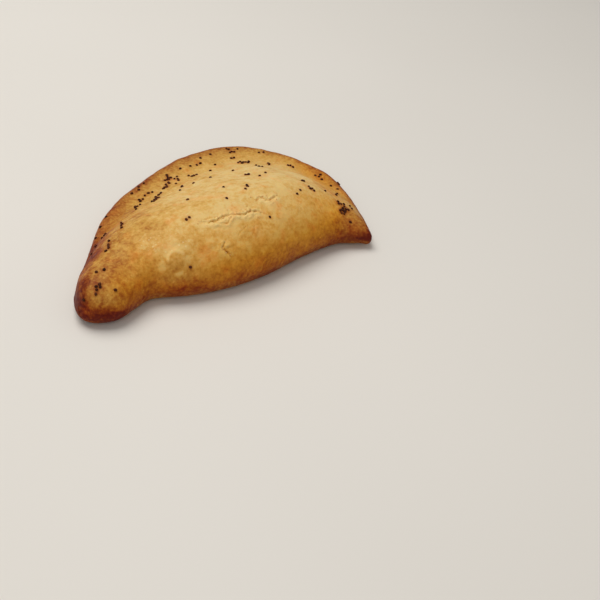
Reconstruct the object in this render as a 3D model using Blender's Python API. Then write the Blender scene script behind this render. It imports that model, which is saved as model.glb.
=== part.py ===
"""Chicken empanadilla: a baked half-moon turnover strewn with poppy seeds, one solid on its flat base.

Metres, +Z up. The fold runs along the front (-Y), the pressed rim round the back (+Y), and the drooping
tip is at the left (-X). The origin is the middle of the bounding box, on the surface it lies on.
"""

import math
import random

import bmesh
import bpy
import numpy as np
from mathutils import Matrix, Vector, noise

MM = 0.001

# Cross-sections from the drooping tip to the far tip, in millimetres: where the section starts on the
# fold side and ends on the rim side, the height of its crest, how far across the filling the crest lies
# (0 at the fold, 1 at the groove), the width of the pressed rim, the height of the rim's top, and the
# height at which the fold's roll is widest.
SECTIONS = (
    ((-78.4, -41.8), (-78.4, -41.8), 10.5, 0.50, 0.0, 5.0, 5.0),
    ((-74.2, -47.4), (-76.9, -33.3), 16.0, 0.50, 0.5, 6.0, 6.0),
    ((-64.8, -50.0), (-71.6, -23.4), 18.5, 0.50, 0.6, 6.8, 7.0),
    ((-54.5, -46.4), (-62.2, -11.6), 20.0, 0.50, 1.8, 7.4, 7.0),
    ((-45.5, -43.8), (-52.2, 2.2), 23.0, 0.48, 5.0, 7.6, 7.0),
    ((-31.0, -48.2), (-36.5, 20.0), 27.5, 0.42, 10.0, 7.8, 7.5),
    ((-13.0, -51.0), (-12.0, 36.0), 30.0, 0.37, 13.0, 8.0, 8.0),
    ((8.0, -50.0), (18.0, 49.3), 30.5, 0.33, 15.0, 8.0, 8.0),
    ((27.0, -46.0), (48.5, 50.5), 28.5, 0.31, 16.5, 7.8, 8.0),
    ((42.0, -43.5), (71.0, 33.5), 22.5, 0.33, 15.5, 7.4, 7.5),
    ((53.5, -43.0), (82.5, 7.0), 15.5, 0.37, 16.0, 6.8, 7.0),
    ((62.5, -46.0), (79.8, -19.0), 11.0, 0.42, 10.5, 6.2, 6.0),
    ((69.5, -46.5), (69.5, -46.5), 7.5, 0.50, 4.0, 6.0, 4.5),
)
FOLD, RIM, CREST, CREST_PLACE, RIM_WIDTH, RIM_TOP, ROLL_HEIGHT = range(7)
LAST = len(SECTIONS) - 1
MIDDLE = (2.2, 0.4)

RIM_EDGE_HEIGHT = 4.0
RIM_ROUNDING = 4.5
BASE_ROUNDING = 7.0
TIP_ROUNDING = 1.6
GROOVE_SOFTNESS = 4.5
FOLD_FULLNESS = 2.1
SLOPE_FULLNESS = 1.3
FLANK_FULLNESS = 2.2
ROUND_END = 6.0
LEAST_FILLING = 0.5
LUMP_HEIGHT = 0.6
LUMP_SIZE = 16.0

RINGS = 56
TOP_POINTS = 32
BASE_POINTS = 13
RINGS_NEAR_TIPS = 0.3
OUTLINE_STEPS = 480

# Cracks in the baked skin, each as points: place along the sections, and share of the way across.
CRACKS = (
    ((5.65, 0.215), (5.95, 0.188), (6.2, 0.19), (6.42, 0.178), (6.62, 0.158), (6.8, 0.166), (7.05, 0.14)),
    ((7.05, 0.212), (7.2, 0.212), (7.32, 0.178), (7.6, 0.19)),
    ((6.02, 0.088), (5.9, 0.068), (5.96, 0.048), (6.06, 0.03)),
)
CRACK_WIDTH = 0.9
CRACK_STEPS = 5

# Poppy seeds: half of a seed's length, breadth and thickness, and how far its middle is above the skin.
SEED_HALF_SIZE = (0.74, 0.62, 0.52)
SEED_LIFT = 0.18
SEED_SPACING = 1.1
SEED_TRIES = 12
SEED_UNEVENNESS = 0.12
SEED_SPAN = 0.02
DRAW = 11

# Heaps and streaks of seeds: from and to, as in the cracks, with the number of seeds and their spread.
HEAPS = (
    ((2.90, 0.905), (3.60, 0.88), 2, 0.3),
    ((3.83, 0.95), (4.87, 0.955), 3, 0.3),
    ((4.05, 0.84), (4.25, 0.81), 3, 0.5),
    ((5.57, 0.95), (6.10, 0.94), 4, 0.8),
    ((5.50, 0.82), (5.45, 0.79), 4, 0.6),
    ((5.72, 0.84), (5.57, 0.86), 3, 0.5),
    ((5.83, 0.87), (6.17, 0.83), 3, 0.4),
    ((6.20, 0.80), (5.60, 0.675), 13, 0.5),
    ((6.47, 0.885), (6.38, 0.82), 10, 0.6),
    ((6.60, 0.85), (6.50, 0.78), 5, 0.6),
    ((6.42, 0.70), (6.33, 0.65), 3, 0.4),
    ((7.03, 0.86), (7.27, 0.86), 3, 0.7),
    ((6.93, 0.80), (6.86, 0.755), 4, 0.6),
    ((7.77, 0.95), (8.13, 0.89), 6, 0.8),
    ((7.80, 0.855), (8.03, 0.84), 2, 0.4),
    ((7.98, 0.79), (8.07, 0.78), 8, 0.8),
    ((8.13, 0.70), (8.07, 0.61), 3, 0.3),
    ((8.37, 0.81), (8.57, 0.76), 3, 0.8),
    ((8.45, 0.90), (8.75, 0.95), 2, 0.4),
    ((8.92, 0.82), (9.10, 0.78), 3, 0.7),
    ((7.57, 0.485), (7.50, 0.475), 3, 0.3),
    ((7.10, 0.325), (7.00, 0.30), 3, 0.2),
    ((8.73, 0.35), (8.71, 0.34), 3, 0.4),
    ((8.77, 0.27), (8.90, 0.24), 5, 0.25),
    ((9.50, 0.80), (10.10, 0.77), 5, 0.8),
    ((10.30, 0.93), (10.43, 0.91), 2, 0.5),
    ((9.90, 0.44), (10.23, 0.62), 3, 0.5),
    ((9.77, 0.24), (10.03, 0.27), 3, 0.5),
    ((10.18, 0.26), (9.98, 0.14), 14, 0.8),
    ((10.40, 0.385), (10.60, 0.335), 2, 0.3),
    ((1.70, 0.34), (1.33, 0.30), 5, 0.35),
    ((3.03, 0.595), (3.63, 0.64), 5, 0.6),
    ((4.90, 0.76), (4.17, 0.59), 4, 0.3),
    ((6.37, 0.825), (6.26, 0.80), 4, 0.45),
)
# Seeds that lie alone, and a few more at random: how many, and between which places.
LONE_SEEDS = (
    (0.67, 0.345), (1.30, 0.225), (2.10, 0.15), (2.30, 0.455), (2.03, 0.535), (5.03, 0.035), (5.46, 0.27),
    (5.55, 0.275), (5.93, 0.44), (6.50, 0.285), (6.60, 0.65), (6.80, 0.89), (7.17, 0.11), (7.23, 0.755),
    (7.43, 0.81), (7.47, 0.62), (7.67, 0.415), (8.20, 0.185), (8.37, 0.215), (9.43, 0.335), (10.37, 0.085),
)
LATE_SEEDS = 8
LATE_REACH = ((4.0, 11.3), (0.35, 0.93))


def column(number):
    return np.array([section[number] for section in SECTIONS], float)


def smooth_curve(before, start, end, after, part):
    """A point between start and end on a smooth curve through four neighbours (Catmull-Rom)."""
    square = part * part
    cube = square * part
    return (
        (2 * cube - 3 * square + 1) * start
        + (cube - 2 * square + part) * (end - before) / 2
        + (3 * square - 2 * cube) * end
        + (cube - square) * (after - start) / 2
    )


def along(number, place):
    """A column's value at a place between sections, on a smooth curve through its entries."""
    values = column(number)
    index = np.clip(np.floor(place).astype(int), 0, LAST - 1)
    return smooth_curve(
        values[np.maximum(index - 1, 0)],
        values[index],
        values[index + 1],
        values[np.minimum(index + 2, LAST)],
        place - index,
    )


def outline(turn):
    """The plan outline: turns 0 to LAST run along the fold, and LAST to 2 LAST back along the rim."""
    loop = np.concatenate([column(FOLD), column(RIM)[LAST - 1 : 0 : -1]]) - MIDDLE
    index = np.floor(turn).astype(int)
    near = [loop[(index + step) % len(loop)] for step in (-1, 0, 1, 2)]
    return smooth_curve(*near, (turn - index)[..., None])


def outline_distance(plan):
    """How far each plan point is from the outline."""
    edge = outline(np.linspace(0, 2 * LAST, OUTLINE_STEPS, endpoint=False))
    run = np.roll(edge, -1, axis=0) - edge
    offset = plan[:, None] - edge
    part = np.clip((offset * run).sum(-1) / (run * run).sum(-1), 0, 1)
    return np.linalg.norm(offset - part[..., None] * run, axis=-1).min(axis=1)


def quarter_round(distance):
    """A quarter circle: 0 at no distance, 1 from a distance of 1."""
    return np.sqrt(1 - (1 - np.clip(distance, 0, 1)) ** 2)


def soft_max(a, b, softness):
    """The larger of two heights, with a rounded groove where they meet."""
    return (a + b + np.sqrt((a - b) ** 2 + softness**2)) / 2


def bulge(across, crest, flank):
    """The filling's section: a full roll at the fold, a crest, then a long slope to the groove.

    The slope runs almost straight down to the groove where flank is 0, and is a round flank where it is 1.
    """
    fold = np.clip(1 - across / crest, 0, 1)
    slope = np.clip((across - crest) / (1 - crest), 0, 1)
    rising = (1 - fold**FOLD_FULLNESS) ** (1 / FOLD_FULLNESS)
    fullness = SLOPE_FULLNESS + (FLANK_FULLNESS - SLOPE_FULLNESS) * flank
    falling = (1 - slope**fullness) ** (1 / (1 + flank))
    return np.where(across < crest, rising, falling)


def lumps(plan):
    """Gentle swellings of the baked dough."""
    return np.array([noise.noise(Vector((x, y, 0)) / LUMP_SIZE) for x, y in plan]) * LUMP_HEIGHT


def surface(place, across, on_top):
    """Points of the crust in millimetres: place is along the sections, across from fold to rim's edge."""
    fold = outline(place)
    rim = outline(2 * LAST - place)
    width = np.linalg.norm(rim - fold, axis=-1)
    plan = fold + (rim - fold) * across[..., None]
    inward = outline_distance(plan)
    near_tip = np.minimum(place, LAST - place)
    tip = quarter_round(near_tip / TIP_ROUNDING)
    filling = 1 - along(RIM_WIDTH, place) / np.maximum(width, RIM_ROUNDING)
    share = across / np.clip(filling, LEAST_FILLING, 1)
    roll = along(ROLL_HEIGHT, place)
    edge = roll + (RIM_EDGE_HEIGHT - roll) * np.clip(near_tip, 0, 1) * across
    flank = 1 - np.clip(place / ROUND_END, 0, 1)
    dome = bulge(share, along(CREST_PLACE, place), flank) * (along(CREST, place) - edge) * tip
    rounding = quarter_round(inward / RIM_ROUNDING)
    plate = rounding * (along(RIM_TOP, place) - edge) * tip
    top = edge + soft_max(dome, plate, GROOVE_SOFTNESS * rounding)
    top += lumps(plan) * quarter_round(inward / BASE_ROUNDING)
    base = edge * (1 - quarter_round(inward / BASE_ROUNDING))
    return np.column_stack([plan, np.where(on_top, top, base)])


def as_mesh(bm, name):
    mesh = bpy.data.meshes.new(name)
    bm.to_mesh(mesh)
    bm.free()
    return mesh


def turnover_mesh():
    """A sphere whose poles are the two tips and whose rings become the cross-sections."""
    bm = bmesh.new()
    ring_points = TOP_POINTS + BASE_POINTS
    bmesh.ops.create_uvsphere(bm, u_segments=ring_points, v_segments=RINGS, radius=1)
    start = np.array([vert.co for vert in bm.verts])
    polar = np.arccos(np.clip(start[:, 2], -1, 1)) / math.pi
    bunched = (1 - np.cos(math.pi * polar)) / 2
    place = LAST * (polar + (bunched - polar) * RINGS_NEAR_TIPS)
    step = np.round(np.arctan2(start[:, 1], start[:, 0]) / (2 * math.pi) * ring_points) % ring_points
    on_top = step <= TOP_POINTS
    turn = np.where(on_top, step / TOP_POINTS, (ring_points - step) / BASE_POINTS)
    across = (1 - np.cos(math.pi * turn)) / 2
    points = surface(place, across, on_top) * MM
    for vert, point in zip(bm.verts, points):
        vert.co = point
    return as_mesh(bm, "turnover")


def skin_point(place, across):
    """The point of the top skin at a place, in millimetres, with its normal."""
    places = np.array([place, place + SEED_SPAN, place - SEED_SPAN, place, place])
    shares = np.array([across, across, across, across + SEED_SPAN, across - SEED_SPAN])
    points = surface(places, np.clip(shares, 0, 1), np.ones(len(places), bool))
    normal = Vector(np.cross(points[1] - points[2], points[3] - points[4])).normalized()
    return Vector(points[0]), normal


def section_width(place):
    widths = np.linalg.norm(column(RIM) - column(FOLD), axis=1)
    return np.interp(place, range(LAST + 1), widths)


def heap_places(draw, heap):
    """Tries for each seed of a heap, until one is clear of the others."""
    start, end, count, spread = heap
    section_step = (SECTIONS[LAST][FOLD][0] - SECTIONS[0][FOLD][0]) / LAST
    for _ in range(count):
        tries = []
        for _ in range(SEED_TRIES):
            part = draw.random()
            place = start[0] + (end[0] - start[0]) * part + draw.gauss(0, spread) / section_step
            across = start[1] + (end[1] - start[1]) * part + draw.gauss(0, spread) / section_width(place)
            tries.append((place, across))
        yield tries


def strewn_places(draw):
    """Where seeds are tried: the heaps, those that lie alone, and a few at random."""
    for heap in HEAPS:
        yield from heap_places(draw, heap)
    for place, across in LONE_SEEDS:
        yield [(place, across)]
    for _ in range(LATE_SEEDS):
        yield [(draw.uniform(*LATE_REACH[0]), draw.uniform(*LATE_REACH[1]))]


def seed_places():
    """The point and the skin's normal of each seed, none closer to another than the spacing."""
    placed = []
    for tries in strewn_places(random.Random(DRAW)):
        for place, across in tries:
            point, normal = skin_point(place, across)
            if all((point - other).length >= SEED_SPACING for other, _ in placed):
                placed.append((point, normal))
                break
    return placed


def poppy_seeds(look):
    """Flattened balls half sunk in the skin, each turned and sized a little differently."""
    draw = random.Random(DRAW)
    for number, (point, normal) in enumerate(seed_places(), 1):
        size = draw.uniform(1 - SEED_UNEVENNESS, 1 + SEED_UNEVENNESS)
        facing = normal.to_track_quat("Z", "Y").to_matrix().to_4x4()
        spin = Matrix.Rotation(draw.uniform(0, math.pi), 4, "Z")
        half = Matrix.Diagonal((*(size * length * MM for length in SEED_HALF_SIZE), 1))
        bm = bmesh.new()
        bmesh.ops.create_icosphere(bm, subdivisions=1, radius=1, matrix=facing @ spin @ half)
        seed = bpy.data.objects.new(f"poppy_seed_{number:03d}", as_mesh(bm, "poppy seed"))
        seed.location = (point + normal * SEED_LIFT) * MM
        seed.data.materials.append(look)
        yield seed


def crack_cutter(points):
    """A thin square tube along a crack, half above the skin."""
    turns = np.linspace(0, len(points) - 1, (len(points) - 1) * CRACK_STEPS + 1)
    place = np.interp(turns, range(len(points)), [point[0] for point in points])
    across = np.interp(turns, range(len(points)), [point[1] for point in points])
    route = surface(place, across, np.ones(len(place), bool)) * MM
    curve = bpy.data.curves.new("crack", "CURVE")
    curve.dimensions = "3D"
    curve.bevel_depth = CRACK_WIDTH / 2 * MM
    curve.bevel_resolution = 0
    curve.use_fill_caps = True
    spline = curve.splines.new("POLY")
    spline.points.add(len(route) - 1)
    for control, point in zip(spline.points, route):
        control.co = (*point, 1)
    guide = bpy.data.objects.new("crack guide", curve)
    bpy.context.scene.collection.objects.link(guide)
    bm = bmesh.new()
    bm.from_mesh(evaluated_mesh(guide))
    bpy.data.objects.remove(guide)
    bmesh.ops.remove_doubles(bm, verts=bm.verts, dist=CRACK_WIDTH * MM / 100)
    return bpy.data.objects.new("crack cutter", as_mesh(bm, "crack cutter"))


def evaluated_mesh(obj):
    bpy.context.view_layer.update()
    graph = bpy.context.evaluated_depsgraph_get()
    return bpy.data.meshes.new_from_object(obj.evaluated_get(graph), depsgraph=graph)


def combine(obj, others, operation):
    """Applies one Boolean of the object with all the others, and removes them."""
    group = bpy.data.collections.new(operation.lower())
    bpy.context.scene.collection.children.link(group)
    for other in others:
        group.objects.link(other)
    boolean = obj.modifiers.new(operation.lower(), "BOOLEAN")
    boolean.operation = operation
    boolean.operand_type = "COLLECTION"
    boolean.collection = group
    boolean.material_mode = "TRANSFER"
    mesh = evaluated_mesh(obj)
    obj.modifiers.remove(boolean)
    obj.data = mesh
    for other in list(group.objects):
        bpy.data.objects.remove(other)
    bpy.data.collections.remove(group)


def pieces_of(bm):
    """The vertices of each connected piece of a mesh."""
    left = set(bm.verts)
    while left:
        piece = {left.pop()}
        front = list(piece)
        while front:
            for edge in front.pop().link_edges:
                met = left.intersection(edge.verts)
                left -= met
                piece |= met
                front.extend(met)
        yield piece


def keep_largest_piece(mesh):
    """Fills hollows that the seeds have sealed, and drops loose scraps."""
    bm = bmesh.new()
    bm.from_mesh(mesh)
    for piece in sorted(pieces_of(bm), key=len)[:-1]:
        bmesh.ops.delete(bm, geom=list(piece), context="VERTS")
    bm.to_mesh(mesh)
    bm.free()


def material(name, color, roughness):
    made = bpy.data.materials.new(name)
    made.use_nodes = True
    shader = made.node_tree.nodes["Principled BSDF"]
    shader.inputs["Base Color"].default_value = (*color, 1)
    shader.inputs["Roughness"].default_value = roughness
    return made


def main():
    for obj in list(bpy.data.objects):
        bpy.data.objects.remove(obj, do_unlink=True)
    part = bpy.data.collections.new("chicken_empanadilla")
    bpy.context.scene.collection.children.link(part)
    turnover = bpy.data.objects.new("turnover", turnover_mesh())
    turnover.data.materials.append(material("golden crust", (0.55, 0.31, 0.11), 0.5))
    part.objects.link(turnover)
    combine(turnover, [crack_cutter(points) for points in CRACKS], "DIFFERENCE")
    combine(turnover, poppy_seeds(material("poppy seed", (0.02, 0.012, 0.012), 0.6)), "UNION")
    keep_largest_piece(turnover.data)
    turnover.data.shade_smooth()
    turnover.data.set_sharp_from_angle(angle=math.radians(40))


main()
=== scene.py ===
import math
import random

import bmesh
import bpy
import numpy as np
from mathutils import Matrix, Vector, noise
from mathutils.kdtree import KDTree


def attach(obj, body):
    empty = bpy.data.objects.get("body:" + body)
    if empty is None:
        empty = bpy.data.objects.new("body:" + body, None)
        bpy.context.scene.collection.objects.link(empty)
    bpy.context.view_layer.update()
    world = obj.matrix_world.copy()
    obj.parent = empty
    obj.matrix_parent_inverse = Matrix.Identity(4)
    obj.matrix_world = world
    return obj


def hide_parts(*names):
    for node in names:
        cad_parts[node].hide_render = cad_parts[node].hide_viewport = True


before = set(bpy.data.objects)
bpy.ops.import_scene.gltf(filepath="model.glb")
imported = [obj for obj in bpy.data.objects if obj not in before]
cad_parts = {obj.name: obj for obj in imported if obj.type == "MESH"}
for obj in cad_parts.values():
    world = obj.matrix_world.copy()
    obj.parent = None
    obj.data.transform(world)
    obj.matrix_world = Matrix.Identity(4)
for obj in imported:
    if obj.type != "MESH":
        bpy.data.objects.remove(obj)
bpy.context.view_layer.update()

MM = 0.001

# The turnover's cross-sections, as in the part: where a section starts on the fold side and ends on the
# rim side, crest height, crest place, rim width, rim top and the height of the fold's roll, in millimetres.
SECTIONS = (
    ((-78.4, -41.8), (-78.4, -41.8), 10.5, 0.50, 0.0, 5.0, 5.0),
    ((-74.2, -47.4), (-76.9, -33.3), 16.0, 0.50, 0.5, 6.0, 6.0),
    ((-64.8, -50.0), (-71.6, -23.4), 18.5, 0.50, 0.6, 6.8, 7.0),
    ((-54.5, -46.4), (-62.2, -11.6), 20.0, 0.50, 1.8, 7.4, 7.0),
    ((-45.5, -43.8), (-52.2, 2.2), 23.0, 0.48, 5.0, 7.6, 7.0),
    ((-31.0, -48.2), (-36.5, 20.0), 27.5, 0.42, 10.0, 7.8, 7.5),
    ((-13.0, -51.0), (-12.0, 36.0), 30.0, 0.37, 13.0, 8.0, 8.0),
    ((8.0, -50.0), (18.0, 49.3), 30.5, 0.33, 15.0, 8.0, 8.0),
    ((27.0, -46.0), (48.5, 50.5), 28.5, 0.31, 16.5, 7.8, 8.0),
    ((42.0, -43.5), (71.0, 33.5), 22.5, 0.33, 15.5, 7.4, 7.5),
    ((53.5, -43.0), (82.5, 7.0), 15.5, 0.37, 16.0, 6.8, 7.0),
    ((62.5, -46.0), (79.8, -19.0), 11.0, 0.42, 10.5, 6.2, 6.0),
    ((69.5, -46.5), (69.5, -46.5), 7.5, 0.50, 4.0, 6.0, 4.5),
)
FOLD, RIM, CREST, CREST_PLACE, RIM_WIDTH, RIM_TOP, ROLL_HEIGHT = range(7)
LAST = len(SECTIONS) - 1
MIDDLE = (2.2, 0.4)

RIM_EDGE_HEIGHT = 4.0
RIM_ROUNDING = 4.5
BASE_ROUNDING = 7.0
TIP_ROUNDING = 1.6
GROOVE_SOFTNESS = 4.5
FOLD_FULLNESS = 2.1
SLOPE_FULLNESS = 1.3
FLANK_FULLNESS = 2.2
ROUND_END = 6.0
LEAST_FILLING = 0.5
LUMP_HEIGHT = 0.6
LUMP_SIZE = 16.0
OUTLINE_STEPS = 480
AT_ONCE = 4000
CROWDING_STEPS = 2001

# The fine crust: how many rings and points it has, how far they are drawn towards the ends of the turnover
# and of each ring, and where they are closer together: the middle, the reach and how many more there are.
RINGS = 430
TOP_POINTS = 194
BASE_POINTS = 34
END_BUNCHING = 0.3
EDGE_BUNCHING = 0.7
CROWDED_PLACE = (6.6, 1.0, 1.2)
CROWDED_SHARE = (0.17, 0.09, 1.6)
# The way from one section to the next, and the height from which the relief is full, in millimetres.
SECTION_STEP = 13.0
SEATED_HEIGHT = 4.0

# Cracks in the baked skin, as in the part, and how deep each is.
CRACKS = (
    ((5.65, 0.215), (5.95, 0.188), (6.2, 0.19), (6.42, 0.178), (6.62, 0.158), (6.8, 0.166), (7.05, 0.14)),
    ((7.05, 0.212), (7.2, 0.212), (7.32, 0.178), (7.6, 0.19)),
    ((6.02, 0.088), (5.9, 0.068), (5.96, 0.048), (6.06, 0.03)),
)
CRACK_DEPTHS = (1.0, 0.95, 0.75)
CRACK_WANDER = (0.5, 0.3, 0.15)
CRACK_STEPS = 12
HAIRLINES = (
    ((6.28, 0.082), (6.37, 0.095), (6.57, 0.11)),
    ((6.62, 0.07), (6.70, 0.085), (6.74, 0.105)),
    ((9.0, 0.17), (9.1, 0.15), (9.2, 0.13)),
    ((4.85, 0.33), (5.05, 0.345), (5.2, 0.34)),
    ((6.9, 0.30), (7.05, 0.285), (7.2, 0.29)),
    ((5.93, 0.180), (6.07, 0.165), (6.20, 0.150), (6.30, 0.164), (6.37, 0.172)),
    ((5.72, 0.232), (5.83, 0.220), (5.97, 0.212), (6.10, 0.200)),
)
HAIRLINE_DEPTHS = (0.24, 0.24, 0.24, 0.24, 0.24, 0.50, 0.42)
HAIRLINE_WANDER = 0.2
HAIRLINE_WIDTH = 0.6
# How far round a crack the skin is worked, in sections and in shares of the width, and how its ends run out.
CRACK_WINDOW = (0.6, 0.12)
CRACK_END = (-0.02, 0.1)
# Across a crack, in millimetres: its groove, the lip on the rim's side and the flap on the fold's side.
GROOVE_WIDTH, GROOVE_DEPTH = 0.36, 0.85
LIP_AT, LIP_WIDTH, LIP_HEIGHT, LIP_PALENESS = 0.9, 0.55, 0.30, 0.6
FLAP_AT, FLAP_WIDTH, FLAP_HEIGHT = -1.6, 1.1, 0.42
CRACK_REACH = 2.6
# The crumbs that break a groove and the painted shade in it leave at least this share of them.
GROOVE_LEAST = 0.35
CREVICE_SHADE_LEAST = 0.3
# Noises round the cracks: size in millimetres and origin, then a share, or the span over which it sets in.
WANDER_NOISES = ((2.2, 20.0, 1.0), (0.9, 40.0, 0.7))
STRENGTH_NOISE, STRENGTH_SPAN = (3.5, 60.0), (-0.75, -0.3)
CRUMB_NOISE, CRUMB_SPAN = (1.0, 110.0), (-0.22, 0.12)
# Lifted layers beside the cracks: size and origin of their noise, the span over which it sets in, height.
LAYERS = ((1.4, 80.0, 0.0, 0.07, 0.30), (0.9, 90.0, 0.1, 0.2, 0.16))

# The pale arch over the largest blister.
ARCH = ((4.50, 0.065), (4.58, 0.105), (4.68, 0.122), (4.80, 0.126), (4.93, 0.104), (5.02, 0.078))
ARCH_WINDOW = (0.8, 0.15)
ARCH_END = (-0.02, 0.2)
ARCH_WANDER = 0.3
ARCH_WIDTH = 0.75
ARCH_HEIGHT = 0.14
ARCH_PALENESS = 0.85

# Large soft blisters: place, share of the width, radius and height in millimetres.
LARGE_BLISTERS = (
    (4.77, 0.08, 5.2, 0.75),
    (5.55, 0.09, 3.4, 0.30),
    (4.05, 0.13, 3.2, 0.15),
    (6.35, 0.04, 3.0, 0.28),
    (7.45, 0.10, 3.8, 0.30),
    (6.6, 0.42, 4.5, 0.28),
    (5.9, 0.52, 3.6, 0.22),
    (8.0, 0.35, 3.6, 0.26),
)
LARGE_BLISTER_WINDOW = (1.0, 0.3)
# Noises that bend their outline and break the pale ring round it: size in millimetres and origin.
WOBBLE_NOISE, WOBBLE = (5.0, 7.0), 0.6
BROKEN_NOISE, BROKEN_SPAN = (3.0, 9.0), (-0.4, 0.2)
RING_WIDTH = 0.24
CAP_TONE = 0.03
RING_TONE = -0.5
CAP_POWER = 1.5

# Pale zones of the skin, and browner ones with a minus: place, share of the width, reach in millimetres and
# strength.
PALE_ZONES = (
    (4.23, 0.265, 5.0, 0.12),
    (4.45, 0.14, 4.5, 0.12),
    (4.47, 0.015, 5.0, 0.15),
    (5.9, 0.27, 10.0, 0.04),
    (4.6, 0.81, 4.5, 0.11),
    (0.63, 0.30, 4.0, 0.24),
    (0.37, 0.79, 3.5, -0.16),
    (1.6, 0.45, 5.0, -0.22),
    (1.8, 0.68, 3.0, 0.12),
    (1.05, 0.55, 4.0, -0.10),
    (4.15, 0.78, 4.5, -0.07),
    (2.4, 0.92, 4.5, -0.20),
    (2.9, 0.84, 5.0, -0.14),
    (3.7, 0.93, 4.0, -0.10),
    (2.65, 0.01, 4.2, 0.07),
    (1.6, 0.03, 4.5, -0.06),
    (3.6, 0.02, 5.0, -0.05),
    (5.0, 0.0, 7.0, -0.07),
    (5.05, 0.88, 6.0, -0.09),
    (6.7, 0.88, 6.0, -0.08),
    (7.3, 0.80, 7.0, -0.05),
    (8.4, 0.85, 6.0, 0.05),
    (9.45, 0.46, 7.0, -0.09),
    (5.0, 0.50, 12.0, -0.05),
    (5.9, 0.55, 8.0, 0.16),
    (7.5, 0.22, 7.0, 0.14),
    (6.2, 0.20, 7.0, 0.10),
    (8.9, 0.52, 9.0, 0.14),
    (5.0, 0.20, 7.0, 0.08),
    (6.7, 0.38, 9.0, 0.06),
)
# Where painted highlights, small glints, show as light freckles: place, share of the width and reach in
# millimetres.
GLINT_PLACES = ((5.02, 0.135, 3.6), (4.32, 0.25, 4.0), (4.66, 0.11, 3.0), (6.6, 0.20, 5.0))
# How far a seed stains the skin, in millimetres, and how many seeds count at a point.
STAIN_REACH = 1.5
STAIN_SEEDS = 4

# A poppy seed: half its length, width and height in millimetres, the net of ridges on it and its bend.
SEED_HALF_SIZE = (0.74, 0.62, 0.52)
SEED_NET = 2.6
PIT_DEPTH, PIT_STEEPNESS = 0.5, 1.6
PIT_LEVEL, RIDGE_HEIGHT = 0.95, 0.10
SEED_BEND, OUTER_BEND, INNER_BEND = 0.28, 0.4, 0.1
SEED_ROUNDNESS = 3
# How high the seeds lie, how far apart, how often a place is tried and how unequal they are, as in the part.
SEED_LIFT = 0.18
SEED_SPACING = 1.1
SEED_TRIES = 12
SEED_UNEVENNESS = 0.12
SEED_SPAN = 0.02
DRAW = 11

# Heaps and rows of seeds, as in the part: where each starts and ends, the number of seeds and their spread
# in millimetres. A place is the section along the turnover and the share of the width from fold to rim.
HEAPS = (
    ((2.90, 0.905), (3.60, 0.88), 2, 0.3),
    ((3.83, 0.95), (4.87, 0.955), 3, 0.3),
    ((4.05, 0.84), (4.25, 0.81), 3, 0.5),
    ((5.57, 0.95), (6.10, 0.94), 4, 0.8),
    ((5.50, 0.82), (5.45, 0.79), 4, 0.6),
    ((5.72, 0.84), (5.57, 0.86), 3, 0.5),
    ((5.83, 0.87), (6.17, 0.83), 3, 0.4),
    ((6.20, 0.80), (5.60, 0.675), 13, 0.5),
    ((6.47, 0.885), (6.38, 0.82), 10, 0.6),
    ((6.60, 0.85), (6.50, 0.78), 5, 0.6),
    ((6.42, 0.70), (6.33, 0.65), 3, 0.4),
    ((7.03, 0.86), (7.27, 0.86), 3, 0.7),
    ((6.93, 0.80), (6.86, 0.755), 4, 0.6),
    ((7.77, 0.95), (8.13, 0.89), 6, 0.8),
    ((7.80, 0.855), (8.03, 0.84), 2, 0.4),
    ((7.98, 0.79), (8.07, 0.78), 8, 0.8),
    ((8.13, 0.70), (8.07, 0.61), 3, 0.3),
    ((8.37, 0.81), (8.57, 0.76), 3, 0.8),
    ((8.45, 0.90), (8.75, 0.95), 2, 0.4),
    ((8.92, 0.82), (9.10, 0.78), 3, 0.7),
    ((7.57, 0.485), (7.50, 0.475), 3, 0.3),
    ((7.10, 0.325), (7.00, 0.30), 3, 0.2),
    ((8.73, 0.35), (8.71, 0.34), 3, 0.4),
    ((8.77, 0.27), (8.90, 0.24), 5, 0.25),
    ((9.50, 0.80), (10.10, 0.77), 5, 0.8),
    ((10.30, 0.93), (10.43, 0.91), 2, 0.5),
    ((9.90, 0.44), (10.23, 0.62), 3, 0.5),
    ((9.77, 0.24), (10.03, 0.27), 3, 0.5),
    ((10.18, 0.26), (9.98, 0.14), 14, 0.8),
    ((10.40, 0.385), (10.60, 0.335), 2, 0.3),
    ((1.70, 0.34), (1.33, 0.30), 5, 0.35),
    ((3.03, 0.595), (3.63, 0.64), 5, 0.6),
    ((4.90, 0.76), (4.17, 0.59), 4, 0.3),
    ((6.37, 0.825), (6.26, 0.80), 4, 0.45),
)
LONE_SEEDS = (
    (0.67, 0.345), (1.30, 0.225), (2.10, 0.15), (2.30, 0.455), (2.03, 0.535), (5.03, 0.035), (5.46, 0.27),
    (5.55, 0.275), (5.93, 0.44), (6.50, 0.285), (6.60, 0.65), (6.80, 0.89), (7.17, 0.11), (7.23, 0.755),
    (7.43, 0.81), (7.47, 0.62), (7.67, 0.415), (8.20, 0.185), (8.37, 0.215), (9.43, 0.335), (10.37, 0.085),
)
LATE_SEEDS = 8
LATE_REACH = ((4.0, 11.3), (0.35, 0.93))

# Relief of the baked skin: size and height of each kind of unevenness, in millimetres.
RELIEF = ((9.0, 0.15), (3.6, 0.075), (1.5, 0.05), (0.8, 0.04))
RIM_RELIEF = ((13.0, 0.30), (6.0, 0.20))
RELIEF_ORIGIN = 5.0
RIM_RELIEF_ORIGIN = 3.0
RIM_RELIEF_SPAN = (0.6, 0.8)

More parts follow.
